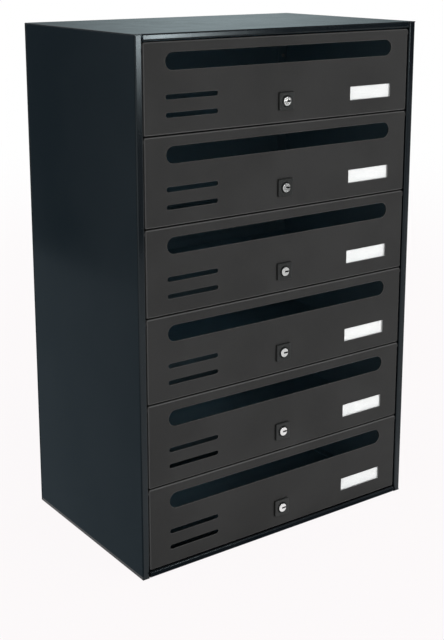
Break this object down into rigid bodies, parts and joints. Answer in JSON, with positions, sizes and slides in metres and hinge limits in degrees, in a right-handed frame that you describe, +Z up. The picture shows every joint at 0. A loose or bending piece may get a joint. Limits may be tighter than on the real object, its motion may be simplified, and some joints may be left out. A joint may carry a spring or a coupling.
{
  "type": "cluster mailbox",
  "caption": "Column of letterboxes in a dark folded sheet-metal casing, each with a top-hung door, mail slot, cam lock, vents and a blank name card.",
  "frame": {"origin": "middle of the base panel's underside", "axes": "+Z up, the doors face -Y, +X to the right as seen from the front"},
  "size_m": [0.4, 0.2542, 0.616],
  "materials": {
    "casing_paint": "satin anthracite paint",
    "door_paint": "fine matt grey powder coat",
    "lock_head_black": "moulded dark plastic",
    "lock_plug_chrome": "bright plated",
    "zinc_steel": "zinc plated",
    "blackened_steel": "blackened",
    "clear_plastic": "clear moulded plastic",
    "card_white": "blank white card"
  },
  "bodies": {
    "casing": {"left_side_panel": "casing_paint", "right_side_panel": "casing_paint", "top_panel": "casing_paint", "base_panel": "casing_paint", "rear_panel": "casing_paint", "rear_rivets": "zinc_steel", "hinge_pins": "blackened_steel", "shelf_1": "casing_paint", "shelf_2": "casing_paint", "shelf_3": "casing_paint", "shelf_4": "casing_paint", "shelf_5": "casing_paint"},
    "door_leaf_1": {"door_1": "door_paint", "lock_housing_1": "lock_head_black", "lock_clip_1": "zinc_steel", "card_holder_1": "clear_plastic", "name_card_1": "card_white"},
    "lock_core_1": {"lock_plug_1": "lock_plug_chrome", "lock_cam_1": "zinc_steel", "cam_screw_1": "zinc_steel"},
    "door_leaf_2": {"door_2": "door_paint", "lock_housing_2": "lock_head_black", "lock_clip_2": "zinc_steel", "card_holder_2": "clear_plastic", "name_card_2": "card_white"},
    "lock_core_2": {"lock_plug_2": "lock_plug_chrome", "lock_cam_2": "zinc_steel", "cam_screw_2": "zinc_steel"},
    "door_leaf_3": {"door_3": "door_paint", "lock_housing_3": "lock_head_black", "lock_clip_3": "zinc_steel", "card_holder_3": "clear_plastic", "name_card_3": "card_white"},
    "lock_core_3": {"lock_plug_3": "lock_plug_chrome", "lock_cam_3": "zinc_steel", "cam_screw_3": "zinc_steel"},
    "door_leaf_4": {"door_4": "door_paint", "lock_housing_4": "lock_head_black", "lock_clip_4": "zinc_steel", "card_holder_4": "clear_plastic", "name_card_4": "card_white"},
    "lock_core_4": {"lock_plug_4": "lock_plug_chrome", "lock_cam_4": "zinc_steel", "cam_screw_4": "zinc_steel"},
    "door_leaf_5": {"door_5": "door_paint", "lock_housing_5": "lock_head_black", "lock_clip_5": "zinc_steel", "card_holder_5": "clear_plastic", "name_card_5": "card_white"},
    "lock_core_5": {"lock_plug_5": "lock_plug_chrome", "lock_cam_5": "zinc_steel", "cam_screw_5": "zinc_steel"},
    "door_leaf_6": {"door_6": "door_paint", "lock_housing_6": "lock_head_black", "lock_clip_6": "zinc_steel", "card_holder_6": "clear_plastic", "name_card_6": "card_white"},
    "lock_core_6": {"lock_plug_6": "lock_plug_chrome", "lock_cam_6": "zinc_steel", "cam_screw_6": "zinc_steel"}
  },
  "joints": [
    {"name": "door_hinge_1", "type": "hinge", "parent": "casing", "child": "door_leaf_1", "pos_m": [0, -0.1195, 0.6027], "axis": [-1, 0, 0], "range_deg": [0, 100]},
    {"name": "lock_turn_1", "type": "hinge", "parent": "door_leaf_1", "child": "lock_core_1", "pos_m": [0, -0.124, 0.5332], "axis": [0, 1, 0], "range_deg": [0, 90]},
    {"name": "door_hinge_2", "type": "hinge", "parent": "casing", "child": "door_leaf_2", "pos_m": [0, -0.1195, 0.5027], "axis": [-1, 0, 0], "range_deg": [0, 100]},
    {"name": "lock_turn_2", "type": "hinge", "parent": "door_leaf_2", "child": "lock_core_2", "pos_m": [0, -0.124, 0.4332], "axis": [0, 1, 0], "range_deg": [0, 90]},
    {"name": "door_hinge_3", "type": "hinge", "parent": "casing", "child": "door_leaf_3", "pos_m": [0, -0.1195, 0.4027], "axis": [-1, 0, 0], "range_deg": [0, 100]},
    {"name": "lock_turn_3", "type": "hinge", "parent": "door_leaf_3", "child": "lock_core_3", "pos_m": [0, -0.124, 0.3332], "axis": [0, 1, 0], "range_deg": [0, 90]},
    {"name": "door_hinge_4", "type": "hinge", "parent": "casing", "child": "door_leaf_4", "pos_m": [0, -0.1195, 0.3027], "axis": [-1, 0, 0], "range_deg": [0, 100]},
    {"name": "lock_turn_4", "type": "hinge", "parent": "door_leaf_4", "child": "lock_core_4", "pos_m": [0, -0.124, 0.2332], "axis": [0, 1, 0], "range_deg": [0, 90]},
    {"name": "door_hinge_5", "type": "hinge", "parent": "casing", "child": "door_leaf_5", "pos_m": [0, -0.1195, 0.2027], "axis": [-1, 0, 0], "range_deg": [0, 100]},
    {"name": "lock_turn_5", "type": "hinge", "parent": "door_leaf_5", "child": "lock_core_5", "pos_m": [0, -0.124, 0.1332], "axis": [0, 1, 0], "range_deg": [0, 90]},
    {"name": "door_hinge_6", "type": "hinge", "parent": "casing", "child": "door_leaf_6", "pos_m": [0, -0.1195, 0.1027], "axis": [-1, 0, 0], "range_deg": [0, 100]},
    {"name": "lock_turn_6", "type": "hinge", "parent": "door_leaf_6", "child": "lock_core_6", "pos_m": [0, -0.124, 0.0332], "axis": [0, 1, 0], "range_deg": [0, 90]}
  ]
}
